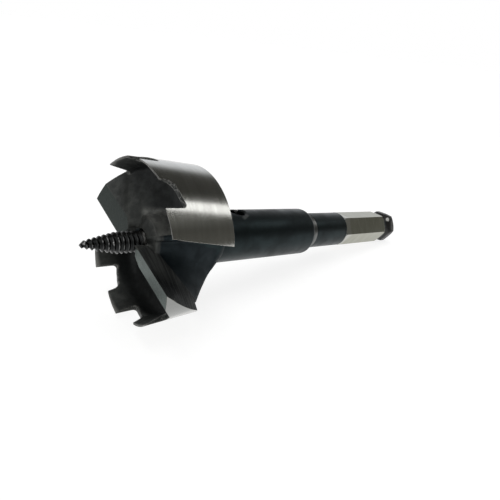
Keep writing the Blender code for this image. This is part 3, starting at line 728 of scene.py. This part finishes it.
def white_floor():
    """Wide white floor. What the lamps leave short of white is added only where it is looked at."""
    mat = bpy.data.materials.new("white_floor")
    mat.use_nodes = True
    tree = Tree(mat.node_tree)
    mat.node_tree.nodes.clear()
    seen = tree.node("ShaderNodeLightPath").outputs
    direct = tree.math("MAXIMUM", seen["Is Camera Ray"], seen["Is Glossy Ray"])
    direct = tree.math("MAXIMUM", direct, seen["Is Transmission Ray"])
    grey = (FLOOR_GREY, FLOOR_GREY, FLOOR_GREY, 1.0)
    paint = tree.node("ShaderNodeBsdfDiffuse", {"Color": grey}).outputs[0]
    glow = {"Color": (1.0, 1.0, 1.0, 1.0), "Strength": FLOOR_GLOW}
    white = tree.node("ShaderNodeEmission", glow).outputs[0]
    shares = {0: tree.product(direct, FLOOR_GLOW_SHARE), 1: paint, 2: white}
    both = tree.node("ShaderNodeMixShader", shares).outputs[0]
    out = tree.node("ShaderNodeOutputMaterial")
    tree.put(out.inputs["Surface"], both)
    bm = bmesh.new()
    bmesh.ops.create_circle(bm, cap_ends=True, radius=FLOOR_RADIUS, segments=64)
    mesh = bpy.data.meshes.new("white_floor")
    bm.to_mesh(mesh)
    bm.free()
    mesh.materials.append(mat)
    floor = bpy.data.objects.new("white_floor", mesh)
    bpy.context.scene.collection.objects.link(floor)


def direction(azimuth, elevation):
    a = math.radians(azimuth)
    e = math.radians(elevation)
    return Vector((math.cos(a) * math.cos(e), math.sin(a) * math.cos(e), math.sin(e)))


def studio_world():
    """A dim studio with walls behind and beside the bit. Looked at directly, it is white all round."""
    world = bpy.data.worlds.new("studio")
    world.use_nodes = True
    bpy.context.scene.world = world
    tree = Tree(world.node_tree)
    sight = tree.node("ShaderNodeTexCoord").outputs["Generated"]
    height = tree.split(sight)[2]

    def towards(azimuth, elevation, start, full):
        return tree.fade(tree.vector("DOT_PRODUCT", sight, direction(azimuth, elevation)), start, full)

    back_wall = tree.product(towards(BACK_WALL_AZIMUTH, 0.0, 0.45, 0.80), tree.fade(height, 0.50, 0.26))
    side_wall = tree.product(towards(SIDE_WALL_AZIMUTH, 0.0, 0.60, 0.90), tree.fade(height, 0.50, 0.20))
    glow = towards(GLOW_AZIMUTH, STRIP_ELEVATION, 0.90, 0.99)
    studio = tree.mix(tree.fade(height, 0.1, 0.68), (0.122, 0.120, 0.107, 1.0), (0.050, 0.049, 0.043, 1.0))
    studio = tree.mix(glow, studio, (0.19, 0.19, 0.175, 1.0))
    studio = tree.mix(side_wall, studio, (0.60, 0.60, 0.59, 1.0))
    studio = tree.mix(back_wall, studio, (0.95, 0.97, 1.0, 1.0))
    seen = tree.node("ShaderNodeLightPath").outputs["Is Camera Ray"]
    background = world.node_tree.nodes["Background"]
    tree.put(background.inputs["Color"], tree.mix(seen, studio, (1.0, 1.0, 1.0, 1.0)))


def softbox(name, azimuth, elevation, distance, width, height, radiance):
    """Rectangular lamp that faces the head. The camera doesn't see it, but the metal mirrors it."""
    lamp = bpy.data.lights.new(name, "AREA")
    lamp.shape = "RECTANGLE"
    lamp.size = width
    lamp.size_y = height
    lamp.energy = radiance * math.pi * width * height
    obj = bpy.data.objects.new(name, lamp)
    aim = BIT @ Vector((0.0, 0.0, -0.010))
    obj.location = aim + direction(azimuth, elevation) * distance
    obj.rotation_euler = (obj.location - aim).to_track_quat("Z", "Y").to_euler()
    obj.visible_camera = False
    bpy.context.scene.collection.objects.link(obj)


def top_light(name, energy, mirrored):
    """Wide soft light from above, for the floor and the bit's soft shadow. Metal mirrors only part of it."""
    lamp = bpy.data.lights.new(name, "SUN")
    lamp.energy = energy
    lamp.angle = math.radians(TOP_LIGHT_SPREAD)
    obj = bpy.data.objects.new(name, lamp)
    obj.rotation_euler = direction(60.0, 80.0).to_track_quat("Z", "Y").to_euler()
    obj.visible_glossy = mirrored
    bpy.context.scene.collection.objects.link(obj)


def camera():
    data = bpy.data.cameras.new("camera")
    data.lens = CAMERA_LENS
    data.sensor_width = 36.0
    data.clip_start = 0.001
    data.clip_end = 50.0
    cam = bpy.data.objects.new("camera", data)
    back = CAMERA_BACK.normalized()
    right = CAMERA_UP.cross(back).normalized()
    turn = Matrix((right, back.cross(right), back)).transposed().to_4x4()
    cam.matrix_world = BIT @ Matrix.Translation(CAMERA_PLACE) @ turn
    bpy.context.scene.collection.objects.link(cam)
    bpy.context.scene.camera = cam


bit_body()
threaded_point()
socket_screw()
white_floor()
studio_world()
softbox("strip_softbox", STRIP_AZIMUTH, STRIP_ELEVATION, 0.5, 0.090, 0.36, 2.0)
softbox("front_softbox", -165.0, 35.0, 0.6, 0.60, 0.60, 1.1)
top_light("top_light", 1.10, mirrored=False)
top_light("top_shine", 0.55, mirrored=True)
camera()
bpy.context.scene.view_settings.view_transform = "Standard"
